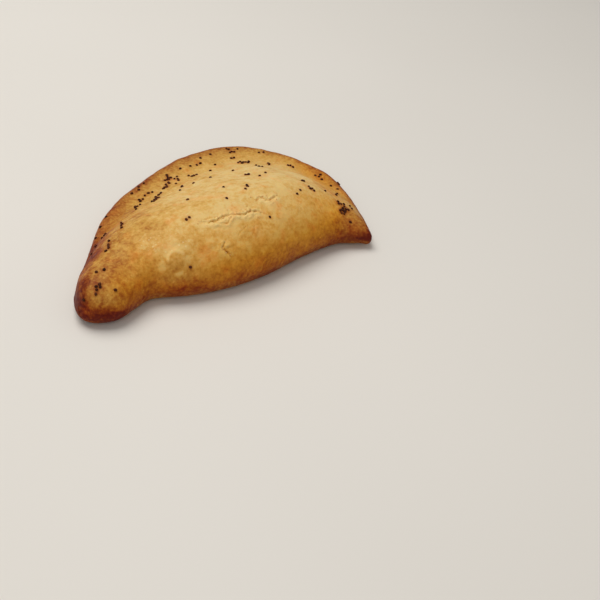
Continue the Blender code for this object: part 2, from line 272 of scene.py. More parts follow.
# Small blisters: how many, their radius and height in millimetres, the least, greatest and commonest place
# and share of the width, and how far they are drawn out along the turnover.
BLISTERS = 230
BLISTER_SIZE = (1.0, 3.6)
BLISTER_HEIGHT = (0.08, 0.30)
BLISTER_PLACES = (2.0, 11.0, 5.8)
BLISTER_SHARES = (0.0, 0.95, 0.16)
BLISTER_STRETCH = (1.0, 1.7)
BLISTER_WINDOW = (0.5, 0.12)

# Browning, from 0, pale, to 1, dark, with painted shade in it low on the fold's side, at the foot and under
# the snout. A span is where a zone sets in and where it is full, in sections along the turnover; its shares
# are of the width and its heights in millimetres. A reach is in sections for the domes and the tip, and else
# in millimetres from the rim. The front's span is in shares of the crest's place. A tone is what a zone adds.
# Those of the left and right dome and of the snout's fold are taken away.
BODY_SPAN = (1.2, 3.2)
LEFT_SPAN = (6.6, 3.6)
SKIN_TONE = 0.14
FRONT_SPAN, FRONT_TONE = (1.3, 0.3), 0.03
RIM_REACH, LEFT_RIM_REACH, RIM_FALL = 16.0, 9.0, 1.6
RIM_TONE, LEFT_RIM_TONE = 0.43, 0.02
EDGE_REACH, EDGE_TONE, LEFT_EDGE_TONE = 5.5, 0.28, -0.20
FAR_LEFT_SPAN, FAR_LEFT_SHARES, FAR_LEFT_TONE = (4.5, 3.6), (0.6, 0.85), 0.14
LEFT_SLOPE_SPAN, LEFT_SLOPE_SHARES, LEFT_SLOPE_TONE = (6.6, 4.4), ((0.1, 0.35), (1.0, 0.7)), 0.18
RIGHT_DOME, RIGHT_DOME_REACH, RIGHT_DOME_SHARES, RIGHT_DOME_TONE = 8.2, 0.9, (0.9, 0.6), 0.06
LEFT_DOME, LEFT_DOME_REACH, LEFT_DOME_HEIGHTS, LEFT_DOME_TONE = 3.2, 0.6, (13.0, 19.0), 0.09
# Painted shade along with browning: the fold's side darker below a height, less of it on the snout.
SHADED_FOLD_HEIGHTS, SHADED_FOLD_TONE, SHADED_SNOUT_FOLD_TONE = (24.0, 2.0), 0.54, 0.20
SNOUT_TONE = 0.20
RIGHT_SPAN, RIGHT_TONE = (9.0, 10.6), 0.14
# Painted shade along with browning: darker towards the foot, most on the fold's side.
SHADED_FOOT_HEIGHTS, SHADED_FOOT_TONE, SHADED_FRONT_FOOT_TONE = (9.0, 2.0), 0.10, 0.26
# Painted shade along with browning: the snout darker towards the floor.
SHADED_SNOUT_FOOT_HEIGHTS, SHADED_SNOUT_FOOT_TONE = (11.5, 3.0), 0.62
TIP_REACH, TIP_TONE = 0.7, 0.40
SNOUT_EDGE_REACH, SNOUT_EDGE_TONE = 10.0, 0.46
# The base's tone; under the snout it is darker, painted contact shade along with the browning.
BASE_TONE, SHADED_SNOUT_BASE_TONE = 0.60, 0.35
BASE_HEIGHTS, BASE_SIDE_TONE, FRONT_BASE_TONE = (0.0, 4.0), 0.10, 0.10

# The glaze's deeper yellow, with spans of the same kinds. The fold has it up to a height, apart from paler
# places: where they are, how far they reach, their heights and how much of the yellow they take away.
GLAZE_SPAN = (1.15, 0.4)
GLAZE_TOP, GLAZE_FADE = 32.0, 16.0
LESS_GLAZED = ((3.1, 0.7, (13.0, 18.0), 0.4), (4.7, 0.75, (8.0, 13.0), 0.5))
BARE_SNOUT, BARE_SNOUT_HEIGHTS, BARE_RIGHT, BARENESS = (2.6, 1.6), (9.0, 14.0), (9.6, 10.4), 0.7
LEFT_RIM_GLAZE, LEFT_RIM_SHARES, LEFT_RIM_YELLOW = (6.5, 3.5), (0.55, 0.8), 0.4
RIGHT_GLAZE, RIGHT_GLAZE_REACH, RIGHT_GLAZE_SHARES, RIGHT_YELLOW = 9.65, 0.6, (0.2, 0.4), 0.7

# Where the skin is less mottled: its heights, its places and how much.
CALM_HEIGHTS, CALM_SPAN, CALM = (17.0, 6.0), (1.5, 3.0), 0.55

# Loose flakes: how many lie along each crack, how far they stray from it, in sections and shares of the
# width, and their corners, size in millimetres and shape.
FLAKE_COUNTS = (34, 22, 8)
FLAKE_SPREAD = 0.05
FLAKE_SIDE, FLAKE_SIDE_SPREAD = 0.006, 0.012
FLAKE_SHARES = (0.01, 0.95)
FLAKE_CORNERS = (5, 8)
FLAKE_RADIUS = (0.28, 0.8)
FLAKE_THICKNESS = (0.07, 0.13)
FLAKE_TILT = 0.5
FLAKE_TURN = 6.28
FLAKE_UNEVENNESS = 0.3
FLAKE_REACH = (0.6, 1.1)
FLAKE_SQUASH = 0.7
FLAKE_UNDERSIDE = 0.9
FLAKE_CROWN = 1.3

# Patterns of the crust: scale, detail and roughness of each texture, and how far it browns the skin.
PATCHES, PATCH_TONE = (80.0, 3.0, 0.55), 0.75
MOTTLES, MOTTLE_TONE = (330.0, 3.0, 0.6), 0.72
SPECKS, SPECK_TONE = (750.0, 2.0, 0.6), 0.55
STREAKS, STREAK_STRETCH, STREAK_TONE = (1.0, 2.0, 0.6), (0.9, 0.16, 0.16), 0.08
# The third mark is painted shade in the cracks' grooves.
MARK_TONES = (("crack", -0.16), ("lip", -0.30), ("crevice_shade", 0.62), ("blister", -0.10))
# Pale freckles and toasted spots: scale and edge, the noise that thins them out and its span, and tone.
SPOTS = (
    (260.0, (0.16, 0.05), (150.0, 1.0, 0.5), (0.46, 0.58), -0.26),
    (190.0, (0.14, 0.04), (110.0, 1.0, 0.5), (0.45, 0.35), 0.18),
)
CRUST_COLORS = (
    (0.0, (0.74, 0.52, 0.20)),
    (0.20, (0.68, 0.41, 0.115)),
    (0.40, (0.57, 0.305, 0.062)),
    (0.60, (0.42, 0.172, 0.028)),
    (0.80, (0.25, 0.054, 0.007)),
    (1.0, (0.12, 0.010, 0.003)),
)
LIP_COLOR, LIP_RANGE, LIP_SHARE = (0.84, 0.63, 0.28, 1), (0.05, 0.8), 0.55
GLAZE_TINT = (1.0, 0.71, 0.21, 1)
# Painted highlights: the colour, scale, edge and share of the light freckles that stand for small glints.
GLINT_COLOR, GLINT_SCALE, GLINT_RANGE, GLINT_SHARE = (0.86, 0.72, 0.40, 1), 620.0, (0.30, 0.12), 0.55
WARM_TINT, WARM_NOISE, WARM_RANGE, WARM_SHARE = (1.05, 0.80, 0.66, 1), (125.0, 2.0, 0.5), (0.53, 0.72), 0.65
STAIN_TINT, STAIN_RANGE, STAIN_SHARE = (0.72, 0.47, 0.46, 1), (0.1, 1.6), 0.85
SHEEN_NOISE, SHEEN_RANGE, CRUST_ROUGHNESS = (180.0, 3.0, 0.6), (0.3, 0.7), (0.46, 0.64)
CRUST_SHINE = 0.12
CRUST_SCATTER, SCATTER_COLOR, SCATTER_DEPTH = 0.10, (1.0, 0.45, 0.2), 1.2
MOTTLE_BUMP, SPECK_BUMP, STREAK_BUMP = 0.6, 0.4, 0.12
CRUST_BUMP, CRUST_BUMP_HEIGHT = 0.8, 0.55

SEED_COLORS = (
    (0.0, (0.036, 0.008, 0.003)),
    (0.6, (0.066, 0.014, 0.005)),
    (1.0, (0.110, 0.032, 0.010)),
)
SEED_GRAIN = (3500.0, 2.0, 0.6)
SEED_DUST, SEED_DUST_RANGE, SEED_DUST_SHARE = (0.10, 0.040, 0.024, 1), (0.5, 0.8), 0.35
GRAIN_RANGE, SEED_ROUGHNESS = (0.2, 0.8), (0.45, 0.7)
SEED_SHINE = 0.08
SEED_PITS, SEED_BUMP, SEED_BUMP_HEIGHT = 4200.0, 0.5, 0.08

FLAKE_COLORS = ((0.1, (228, 188, 118)), (0.6, (210, 160, 88)), (1.0, (180, 122, 58)))
FLAKE_GRAIN, FLAKE_TONE, FLAKE_GRAIN_TONE = (1400.0, 3.0, 0.6), 0.5, 0.5
FLAKE_ROUGHNESS = (0.6, 0.8)
FLAKE_BUMP, FLAKE_BUMP_HEIGHT = 0.4, 0.1

FLOOR_COLORS = ((0.3, (0.74, 0.71, 0.66)), (0.7, (0.77, 0.74, 0.69)))
FLOOR_NOISE = (3.0, 2.0, 0.5)
FLOOR_ROUGHNESS = 0.8
FLOOR_HALF_SIZE = 3.0

# Light: its colour, the strength that comes from all round, and the lamps' place, size and power.
LIGHT_COLOR = (1.0, 0.98, 0.95)
ROOM_STRENGTH = 0.33
LAMPS = (("key", (-0.15, 0.30, 0.95), 0.8, 7.2), ("fill", (-0.6, -0.7, 0.7), 0.8, 1.8))

# The photograph's camera, in metres, with what is to its right, below it and ahead of it.
CAMERA_PLACE = (-0.20398, -0.31616, 0.25320)
CAMERA_RIGHT = (0.81352, -0.56506, 0.13746)
CAMERA_DOWN = (-0.26218, -0.56737, -0.78061)
CAMERA_AHEAD = (0.51908, 0.59900, -0.60971)
CAMERA_LENS = 56.708
CAMERA_SENSOR = 36.0
CAMERA_NEAR = 0.01


def column(number):
    return np.array([section[number] for section in SECTIONS], float)


def smooth_curve(before, start, end, after, part):
    square = part * part
    cube = square * part
    return (
        (2 * cube - 3 * square + 1) * start
        + (cube - 2 * square + part) * (end - before) / 2
        + (3 * square - 2 * cube) * end
        + (cube - square) * (after - start) / 2
    )


def along(number, place):
    values = column(number)
    index = np.clip(np.floor(place).astype(int), 0, LAST - 1)
    return smooth_curve(
        values[np.maximum(index - 1, 0)],
        values[index],
        values[index + 1],
        values[np.minimum(index + 2, LAST)],
        place - index,
    )


def outline(turn):
    loop = np.concatenate([column(FOLD), column(RIM)[LAST - 1 : 0 : -1]]) - MIDDLE
    index = np.floor(turn).astype(int)
    near = [loop[(index + step) % len(loop)] for step in (-1, 0, 1, 2)]
    return smooth_curve(*near, (turn - index)[..., None])


def outline_distance(plan):
    edge = outline(np.linspace(0, 2 * LAST, OUTLINE_STEPS, endpoint=False))
    run = np.roll(edge, -1, axis=0) - edge
    distances = []
    for first in range(0, len(plan), AT_ONCE):
        offset = plan[first : first + AT_ONCE, None] - edge
        part = np.clip((offset * run).sum(-1) / (run * run).sum(-1), 0, 1)
        distances.append(np.linalg.norm(offset - part[..., None] * run, axis=-1).min(axis=1))
    return np.concatenate(distances)


def quarter_round(distance):
    return np.sqrt(1 - (1 - np.clip(distance, 0, 1)) ** 2)


def soft_max(a, b, softness):
    return (a + b + np.sqrt((a - b) ** 2 + softness**2)) / 2


def bulge(across, crest, flank):
    fold = np.clip(1 - across / crest, 0, 1)
    slope = np.clip((across - crest) / (1 - crest), 0, 1)
    rising = (1 - fold**FOLD_FULLNESS) ** (1 / FOLD_FULLNESS)
    fullness = SLOPE_FULLNESS + (FLANK_FULLNESS - SLOPE_FULLNESS) * flank
    falling = (1 - slope**fullness) ** (1 / (1 + flank))
    return np.where(across < crest, rising, falling)


def lumps(plan):
    return np.array([noise.noise(Vector((x, y, 0)) / LUMP_SIZE) for x, y in plan]) * LUMP_HEIGHT


def surface(place, across, on_top):
    """Points of the crust in millimetres, as in the part."""
    fold = outline(place)
    rim = outline(2 * LAST - place)
    width = np.linalg.norm(rim - fold, axis=-1)
    plan = fold + (rim - fold) * across[..., None]
    inward = outline_distance(plan)
    near_tip = np.minimum(place, LAST - place)
    tip = quarter_round(near_tip / TIP_ROUNDING)
    filling = 1 - along(RIM_WIDTH, place) / np.maximum(width, RIM_ROUNDING)
    share = across / np.clip(filling, LEAST_FILLING, 1)
    roll = along(ROLL_HEIGHT, place)
    edge = roll + (RIM_EDGE_HEIGHT - roll) * np.clip(near_tip, 0, 1) * across
    flank = 1 - np.clip(place / ROUND_END, 0, 1)
    dome = bulge(share, along(CREST_PLACE, place), flank) * (along(CREST, place) - edge) * tip
    rounding = quarter_round(inward / RIM_ROUNDING)
    plate = rounding * (along(RIM_TOP, place) - edge) * tip
    top = edge + soft_max(dome, plate, GROOVE_SOFTNESS * rounding)
    top += lumps(plan) * quarter_round(inward / BASE_ROUNDING)
    base = edge * (1 - quarter_round(inward / BASE_ROUNDING))
    return np.column_stack([plan, np.where(on_top, top, base)])


def top_points(place, across):
    """Points on the top of the smooth crust."""
    return surface(place, across, np.ones(len(place), bool))


def top_point(place, across):
    return top_points(np.array([place]), np.array([across]))[0]


def section_width(place):
    widths = np.linalg.norm(column(RIM) - column(FOLD), axis=1)
    return np.interp(place, range(LAST + 1), widths)


def in_window(place, across, at, share, window):
    """Which points lie within so many sections and shares of the width of one place."""
    return (abs(place - at) < window[0]) & (abs(across - share) < window[1])


def hill(distance, reach):
    """1 where the distance is 0, fading out past the reach."""
    return np.exp(-((distance / reach) ** 2))


def bunched(parts, share):
    """Even parts from 0 to 1, drawn towards both ends by a share."""
    return parts + ((1 - np.cos(math.pi * parts)) / 2 - parts) * share


def crowded(parts, middle, reach, more):
    """Even parts from 0 to 1, drawn together round the middle."""
    fine = np.linspace(0, 1, CROWDING_STEPS)
    density = 1 + more * hill(fine - middle, reach)
    total = np.concatenate([[0], np.cumsum((density[1:] + density[:-1]) / 2)])
    return np.interp(parts, total / total[-1], fine)


def smooth_step(value, low, high):
    part = np.clip((value - low) / (high - low), 0, 1)
    return part * part * (3 - 2 * part)


def noise_at(points, size, origin=0.0):
    shift = Vector((origin, origin, origin))
    return np.array([noise.noise(Vector(point) / size + shift) for point in points])


def vertex_normals(mesh):
    normals = np.empty(len(mesh.vertices) * 3, np.float32)
    mesh.vertex_normals.foreach_get("vector", normals)
    return normals.reshape(-1, 3).astype(float)


def vertex_points(mesh):
    points = np.empty(len(mesh.vertices) * 3, np.float32)
    mesh.vertices.foreach_get("co", points)
    return points.reshape(-1, 3).astype(float)


def crack_line(points):
    turns = np.linspace(0, len(points) - 1, (len(points) - 1) * CRACK_STEPS + 1)
    place = np.interp(turns, range(len(points)), [point[0] for point in points])
    across = np.interp(turns, range(len(points)), [point[1] for point in points])
    return place, across


def crack_relief(points, place, across):
    """The cracks' lips less their depth, and how much of a crack, of painted shade in its groove and of a lip
    is at each point.
    """
    relief = np.zeros(len(points))
    nearness = np.zeros(len(points))
    crevice_shade = np.zeros(len(points))
    lips = np.zeros(len(points))
    wander = sum(noise_at(points, size, origin) * share for size, origin, share in WANDER_NOISES)
    strength = smooth_step(noise_at(points, *STRENGTH_NOISE), *STRENGTH_SPAN)
    crumbly = smooth_step(noise_at(points, *CRUMB_NOISE), *CRUMB_SPAN)
    lines = [(*line, 1.0) for line in zip(CRACKS, CRACK_DEPTHS, CRACK_WANDER)]
    lines += [(*line, HAIRLINE_WANDER, HAIRLINE_WIDTH) for line in zip(HAIRLINES, HAIRLINE_DEPTHS)]
    for crack, depth, wide, width in lines:
        line_place, line_across = crack_line(crack)
        line = top_points(line_place, line_across)
        near = np.flatnonzero(
            (place > line_place.min() - CRACK_WINDOW[0])
            & (place < line_place.max() + CRACK_WINDOW[0])
            & (across > line_across.min() - CRACK_WINDOW[1])
            & (across < line_across.max() + CRACK_WINDOW[1])
        )
        distance, nearest, end = along_line(points[near], line, CRACK_END)
        side = np.sign(across[near] - line_across[nearest])
        signed = distance * side + wander[near] * wide
        strong = strength[near] * end * depth
        groove = hill(signed, GROOVE_WIDTH * width) * (GROOVE_LEAST + (1 - GROOVE_LEAST) * crumbly[near])
        lip = hill(signed - LIP_AT * width, LIP_WIDTH * width)
        flap = hill(signed - FLAP_AT * width, FLAP_WIDTH * width)
        # Painted shade in the groove, broken up by crumbs.
        dark = groove * strong * (CREVICE_SHADE_LEAST + (1 - CREVICE_SHADE_LEAST) * crumbly[near])
        relief[near] += strong * (lip * LIP_HEIGHT + flap * FLAP_HEIGHT - groove * GROOVE_DEPTH)
        nearness[near] = np.maximum(nearness[near], hill(distance, CRACK_REACH * width) * end * depth)
        crevice_shade[near] = np.maximum(crevice_shade[near], dark)
        lips[near] = np.maximum(lips[near], (lip * LIP_PALENESS + flap) * end * depth**3)
    line_place, line_across = crack_line(ARCH)
    near = np.flatnonzero(in_window(place, across, line_place.mean(), line_across.mean(), ARCH_WINDOW))
    distance, _, end = along_line(points[near], top_points(line_place, line_across), ARCH_END)
    ridge = hill(distance + wander[near] * ARCH_WANDER, ARCH_WIDTH) * end
    relief[near] += ridge * ARCH_HEIGHT
    lips[near] = np.maximum(lips[near], ridge * ARCH_PALENESS)
    return relief, nearness, crevice_shade, lips


def along_line(points, line, run_out):
    """How far each point is from a line, the line's nearest step, and how the line's ends run out there."""
    distances = np.linalg.norm(points[:, None] - line, axis=-1)
    nearest = distances.argmin(axis=1)
    end = smooth_step(np.minimum(nearest, len(line) - 1 - nearest) / len(line), *run_out)
    return distances.min(axis=1), nearest, end


def flaky(points, nearness):
    """Thin layers that have lifted beside the cracks."""
    layers = (
        smooth_step(noise_at(points, size, origin), low, high) * height
        for size, origin, low, high, height in LAYERS
    )
    return sum(layers) * nearness


def cap(distance):
    """A rounded cap: 1 in the middle, and 0 from a distance of 1 on."""
    return np.clip(1 - distance**2, 0, 1) ** CAP_POWER


def blisters(points, place, across, on_top):
    """Small raised blisters, most of them on the front of the filling."""
    draw = random.Random(DRAW)
    relief = np.zeros(len(points))
    browned = np.zeros(len(points))
    for _ in range(BLISTERS):
        middle = draw.triangular(*BLISTER_PLACES), draw.triangular(*BLISTER_SHARES)
        size = draw.uniform(*BLISTER_SIZE)
        height = draw.uniform(*BLISTER_HEIGHT) * size / BLISTER_SIZE[1]
        stretch = draw.uniform(*BLISTER_STRETCH)
        near = np.flatnonzero(on_top & in_window(place, across, *middle, BLISTER_WINDOW))
        if not len(near):
            continue
        offset = points[near] - top_point(*middle)
        offset[:, 0] /= stretch
        raised = cap(np.linalg.norm(offset, axis=1) / size)
        relief[near] = np.maximum(relief[near], raised * height)
        browned[near] = np.maximum(browned[near], raised * height / BLISTER_HEIGHT[1])
    return relief, browned


def large_blisters(points, place, across, on_top):
    """Soft bubbles in the skin, each with a browned cap and a pale ring round it."""
    relief = np.zeros(len(points))
    toasted = np.zeros(len(points))
    for at, share, size, height in LARGE_BLISTERS:
        near = np.flatnonzero(on_top & in_window(place, across, at, share, LARGE_BLISTER_WINDOW))
        wobble = 1 + noise_at(points[near], *WOBBLE_NOISE) * WOBBLE
        broken = smooth_step(noise_at(points[near], *BROKEN_NOISE), *BROKEN_SPAN)
        distance = np.linalg.norm(points[near] - top_point(at, share), axis=1) / (size * wobble)
        raised = cap(distance)
        ring = hill(distance - 1.0, RING_WIDTH)
        relief[near] += raised * height
        toasted[near] += raised * CAP_TONE + ring * RING_TONE * height * broken
    return relief, toasted


def pale_zones(points, on_top):
    """How much paler the skin is in its pale zones."""
    pale = np.zeros(len(points))
    for at, share, reach, strength in PALE_ZONES:
        distance = np.linalg.norm(points - top_point(at, share), axis=1)
        pale += hill(distance, reach) * strength * on_top
    return pale


def painted_glints(points, on_top):
    """How thickly painted glints lie as light freckles at each point."""
    glints = np.zeros(len(points))
    for at, share, reach in GLINT_PLACES:
        distance = np.linalg.norm(points - top_point(at, share), axis=1)
        glints = np.maximum(glints, hill(distance, reach) * on_top)
    return glints


def stains(points):
    """How close each point is to a seed, and to a heap of them."""
    tree = KDTree(len(SEED_PLACES))
    for index, (point, _) in enumerate(SEED_PLACES):
        tree.insert(point, index)
    tree.balance()
    stain = np.zeros(len(points))
    for index, point in enumerate(points):
        found = tree.find_n(point, STAIN_SEEDS)
        stain[index] = sum(math.exp(-((distance / STAIN_REACH) ** 2)) for _, _, distance in found)
    return stain


def browning_and_shade(points, place, across, on_top):
    """Browning with painted shade low on the fold and the snout, from 0, pale, to 1, dark."""
    from_rim = (1 - across) * section_width(place)
    height = points[:, 2]
    crest = along(CREST_PLACE, place)
    left = smooth_step(place, *LEFT_SPAN)
    right = smooth_step(place, *RIGHT_SPAN)
    body = smooth_step(place, *BODY_SPAN)
    snout = 1 - body
    front = smooth_step(across, crest * FRONT_SPAN[0], crest * FRONT_SPAN[1])
    rim = np.exp(-((from_rim / (RIM_REACH + LEFT_RIM_REACH * left)) ** RIM_FALL)) * body
    edge = hill(from_rim, EDGE_REACH) * body
    far_left = smooth_step(place, *FAR_LEFT_SPAN) * smooth_step(across, *FAR_LEFT_SHARES) * body
    left_slope = smooth_step(place, *LEFT_SLOPE_SPAN) * body
    for shares in LEFT_SLOPE_SHARES:
        left_slope *= smooth_step(across, *shares)
    right_dome = hill(place - RIGHT_DOME, RIGHT_DOME_REACH) * smooth_step(across, *RIGHT_DOME_SHARES)
    left_dome = hill(place - LEFT_DOME, LEFT_DOME_REACH) * smooth_step(height, *LEFT_DOME_HEIGHTS)
    # The fold's lower side is darker: browning and painted shade.
    shaded_low_fold = smooth_step(height, *SHADED_FOLD_HEIGHTS) * front
    brown_and_shade = SKIN_TONE + FRONT_TONE * front
    brown_and_shade += rim * (RIM_TONE + LEFT_RIM_TONE * left)
    brown_and_shade += edge * (EDGE_TONE + LEFT_EDGE_TONE * left)
    brown_and_shade += far_left * FAR_LEFT_TONE + left_slope * LEFT_SLOPE_TONE
    brown_and_shade -= right_dome * RIGHT_DOME_TONE + left_dome * LEFT_DOME_TONE
    brown_and_shade += shaded_low_fold * (SHADED_FOLD_TONE - SHADED_SNOUT_FOLD_TONE * snout)
    brown_and_shade += snout * SNOUT_TONE + right * RIGHT_TONE
    # Darker towards the foot: browning and painted shade.
    brown_and_shade += smooth_step(height, *SHADED_FOOT_HEIGHTS) * (SHADED_FOOT_TONE + SHADED_FRONT_FOOT_TONE * front)
    # The snout darker towards the floor: browning and painted shade.
    brown_and_shade += smooth_step(height, *SHADED_SNOUT_FOOT_HEIGHTS) * snout * SHADED_SNOUT_FOOT_TONE
    brown_and_shade += hill(place, TIP_REACH) * TIP_TONE
    brown_and_shade += hill(from_rim, SNOUT_EDGE_REACH) * snout * SNOUT_EDGE_TONE
    # Under the snout the base is darker: painted contact shade along with the browning.
    base = BASE_TONE + SHADED_SNOUT_BASE_TONE * snout
    base += smooth_step(height, *BASE_HEIGHTS) * (BASE_SIDE_TONE + FRONT_BASE_TONE * front)
    return np.clip(np.where(on_top, brown_and_shade, base), 0, 1)


def goldenness(points, place, across, on_top):
    """How much glaze has turned the crust a deeper yellow: most on the fold's side."""
    height = points[:, 2]
    crest = along(CREST_PLACE, place)
    front = smooth_step(across, crest * GLAZE_SPAN[0], crest * GLAZE_SPAN[1])
    front *= np.clip((GLAZE_TOP - height) / GLAZE_FADE, 0, 1)
    for at, reach, heights, less in LESS_GLAZED:
        front *= 1 - less * hill(place - at, reach) * smooth_step(height, *heights)
    bare_snout = smooth_step(place, *BARE_SNOUT) * smooth_step(height, *BARE_SNOUT_HEIGHTS)
    front *= 1 - BARENESS * bare_snout - BARENESS * smooth_step(place, *BARE_RIGHT)
    left_rim = smooth_step(place, *LEFT_RIM_GLAZE) * smooth_step(across, *LEFT_RIM_SHARES) * LEFT_RIM_YELLOW
    right_rim = hill(place - RIGHT_GLAZE, RIGHT_GLAZE_REACH) * smooth_step(across, *RIGHT_GLAZE_SHARES)
    return np.clip(np.maximum(front, np.maximum(left_rim, right_rim * RIGHT_YELLOW)), 0, 1) * on_top


def crust_mesh():
    """The crust as a fine mesh, with its relief, and what the material reads at each point."""
    bm = bmesh.new()
    ring_points = TOP_POINTS + BASE_POINTS
    bmesh.ops.create_uvsphere(bm, u_segments=ring_points, v_segments=RINGS, radius=1)
    start = np.array([vert.co for vert in bm.verts])
    mesh = bpy.data.meshes.new("crust")
    bm.to_mesh(mesh)
    bm.free()
    polar = np.arccos(np.clip(start[:, 2], -1, 1)) / math.pi
    middle, reach, more = CROWDED_PLACE
    place = LAST * crowded(bunched(polar, END_BUNCHING), middle / LAST, reach / LAST, more)
    step = np.round(np.arctan2(start[:, 1], start[:, 0]) / (2 * math.pi) * ring_points) % ring_points
    on_top = step <= TOP_POINTS
    turn = np.where(on_top, step / TOP_POINTS, (ring_points - step) / BASE_POINTS)
    share = bunched(turn, EDGE_BUNCHING)
    across = np.where(on_top, crowded(share, *CROWDED_SHARE), share)
    points = surface(place, across, on_top)
    set_points(mesh, points)
    normals = vertex_normals(mesh)
    on_rim = smooth_step(across, *RIM_RELIEF_SPAN) * on_top
    relief = unevenness(points, RELIEF, RELIEF_ORIGIN)
    relief += unevenness(points, RIM_RELIEF, RIM_RELIEF_ORIGIN) * on_rim
    crack, nearness, crevice_shade, lips = crack_relief(points, place, across)
    blister, browned = blisters(points, place, across, on_top)
    bubble, toasted = large_blisters(points, place, across, on_top)
    seated = smooth_step(points[:, 2], 0.0, SEATED_HEIGHT)
    relief = (relief + crack * on_top + flaky(points, nearness) * on_top + blister + bubble) * seated
    points += normals * relief[:, None]
    set_points(mesh, points)
    brown_and_shade = browning_and_shade(points, place, across, on_top) + toasted - pale_zones(points, on_top)
    put_attribute(mesh, "browning_and_shade", brown_and_shade)
    put_attribute(mesh, "gold", goldenness(points, place, across, on_top))
    put_attribute(mesh, "crack", nearness)
    put_attribute(mesh, "crevice_shade", crevice_shade)
    put_attribute(mesh, "lip", lips)
    put_attribute(mesh, "stain", stains(points) * on_top)
    put_attribute(mesh, "blister", browned)
    put_attribute(mesh, "glints", painted_glints(points, on_top))
    calm = smooth_step(points[:, 2], *CALM_HEIGHTS) * smooth_step(place, *CALM_SPAN)
    put_attribute(mesh, "calm", calm * CALM)
    skin = np.column_stack([place * SECTION_STEP, across * section_width(place), points[:, 2]])
    vectors = mesh.attributes.new("skin", "FLOAT_VECTOR", "POINT")
    vectors.data.foreach_set("vector", skin.astype(np.float32).ravel())
    return mesh, on_top


def unevenness(points, kinds, origin):
    return sum(noise_at(points, size, origin * size) * height for size, height in kinds)


def set_points(mesh, points):
    mesh.vertices.foreach_set("co", (points * MM).astype(np.float32).ravel())
    mesh.update()


def put_attribute(mesh, name, values):
    attribute = mesh.attributes.new(name, "FLOAT", "POINT")
    attribute.data.foreach_set("value", values.astype(np.float32))


def heap_places(draw, heap):
    """Tries for each seed of a heap, until one is clear of the others."""
    start, end, count, spread = heap
    section_step = (SECTIONS[LAST][FOLD][0] - SECTIONS[0][FOLD][0]) / LAST
    for _ in range(count):
        tries = []
        for _ in range(SEED_TRIES):
            part = draw.random()
            place = start[0] + (end[0] - start[0]) * part + draw.gauss(0, spread) / section_step
            across = start[1] + (end[1] - start[1]) * part + draw.gauss(0, spread) / section_width(place)
            tries.append((place, across))
        yield tries


def strewn_places(draw):
    """Where seeds are tried: the heaps, those that lie alone, and a few at random."""
    for heap in HEAPS:
        yield from heap_places(draw, heap)
    for place, across in LONE_SEEDS:
        yield [(place, across)]
    for _ in range(LATE_SEEDS):
        yield [(draw.uniform(*LATE_REACH[0]), draw.uniform(*LATE_REACH[1]))]


def seed_places():
    """The point and the skin's normal of each seed, none closer to another than the spacing."""
    placed = []
    for tries in strewn_places(random.Random(DRAW)):
        for place, across in tries:
            point, normal = skin_point(place, across)
            if all((point - other).length >= SEED_SPACING for other, _ in placed):
                placed.append((point, normal))
                break
    return placed


def skin_point(place, across):
    places = np.array([place, place + SEED_SPAN, place - SEED_SPAN, place, place])
    shares = np.array([across, across, across, across + SEED_SPAN, across - SEED_SPAN])
    points = top_points(places, np.clip(shares, 0, 1))
    normal = Vector(np.cross(points[1] - points[2], points[3] - points[4])).normalized()
    return Vector(points[0]), normal


SEED_PLACES = seed_places()


def seed_shape():
    """One poppy seed, kidney-shaped, with a net of ridges round shallow pits."""
    bm = bmesh.new()
    bmesh.ops.create_icosphere(bm, subdivisions=SEED_ROUNDNESS, radius=1)
    for vert in bm.verts:
        x, y, _ = vert.co
        nearest = noise.voronoi(vert.co * SEED_NET)[0]
        ridge = max(0.0, PIT_DEPTH - (nearest[1] - nearest[0]) * PIT_STEEPNESS)
        vert.co *= PIT_LEVEL + RIDGE_HEIGHT * ridge
        vert.co.y -= SEED_BEND * (1 - x * x) * (OUTER_BEND if y > 0 else INNER_BEND)
    mesh = bpy.data.meshes.new("seed shape")
    bm.to_mesh(mesh)
    bm.free()
    points = vertex_points(mesh)
    faces = [tuple(face.vertices) for face in mesh.polygons]
    bpy.data.meshes.remove(mesh)
    return points, faces


def joined(name, shapes):
    """One mesh from many (points, faces, tone) shapes, in millimetres."""
    points, faces, tones, first = [], [], [], 0
    for shape_points, shape_faces, tone in shapes:
        points.append(shape_points)
        faces.extend(tuple(first + index for index in face) for face in shape_faces)
        tones.append(np.full(len(shape_points), tone))
        first += len(shape_points)
    mesh = bpy.data.meshes.new(name)
    mesh.from_pydata((np.concatenate(points) * MM).tolist(), [], faces)
    put_attribute(mesh, "tone", np.concatenate(tones))
    return mesh


def seeds_mesh(crust, places):
    """Poppy seeds at the part's places, seated on the fine crust."""
    points = vertex_points(crust) / MM
    normals = vertex_normals(crust)
    tree = KDTree(len(points))
    for index in np.flatnonzero(places):
        tree.insert(points[index], index)
    tree.balance()
    shape, faces = seed_shape()
    draw = random.Random(DRAW)
    tones = random.Random(DRAW + 1)
    shapes = []
    for point, normal in SEED_PLACES:
        size = draw.uniform(1 - SEED_UNEVENNESS, 1 + SEED_UNEVENNESS)
        facing = normal.to_track_quat("Z", "Y").to_matrix()
        spin = Matrix.Rotation(draw.uniform(0, math.pi), 3, "Z")
        near = tree.find(point)[1]
        height = (Vector(points[near]) - point).dot(normal)
        middle = point + normal * (height + SEED_LIFT)
        half = Matrix.Diagonal([size * length for length in SEED_HALF_SIZE])
        turned = np.array(facing @ spin @ half)
        shapes.append((shape @ turned.T + np.array(middle), faces, tones.random()))
    seeds = joined("poppy_seeds", shapes)
    seeds.shade_smooth()
    return seeds


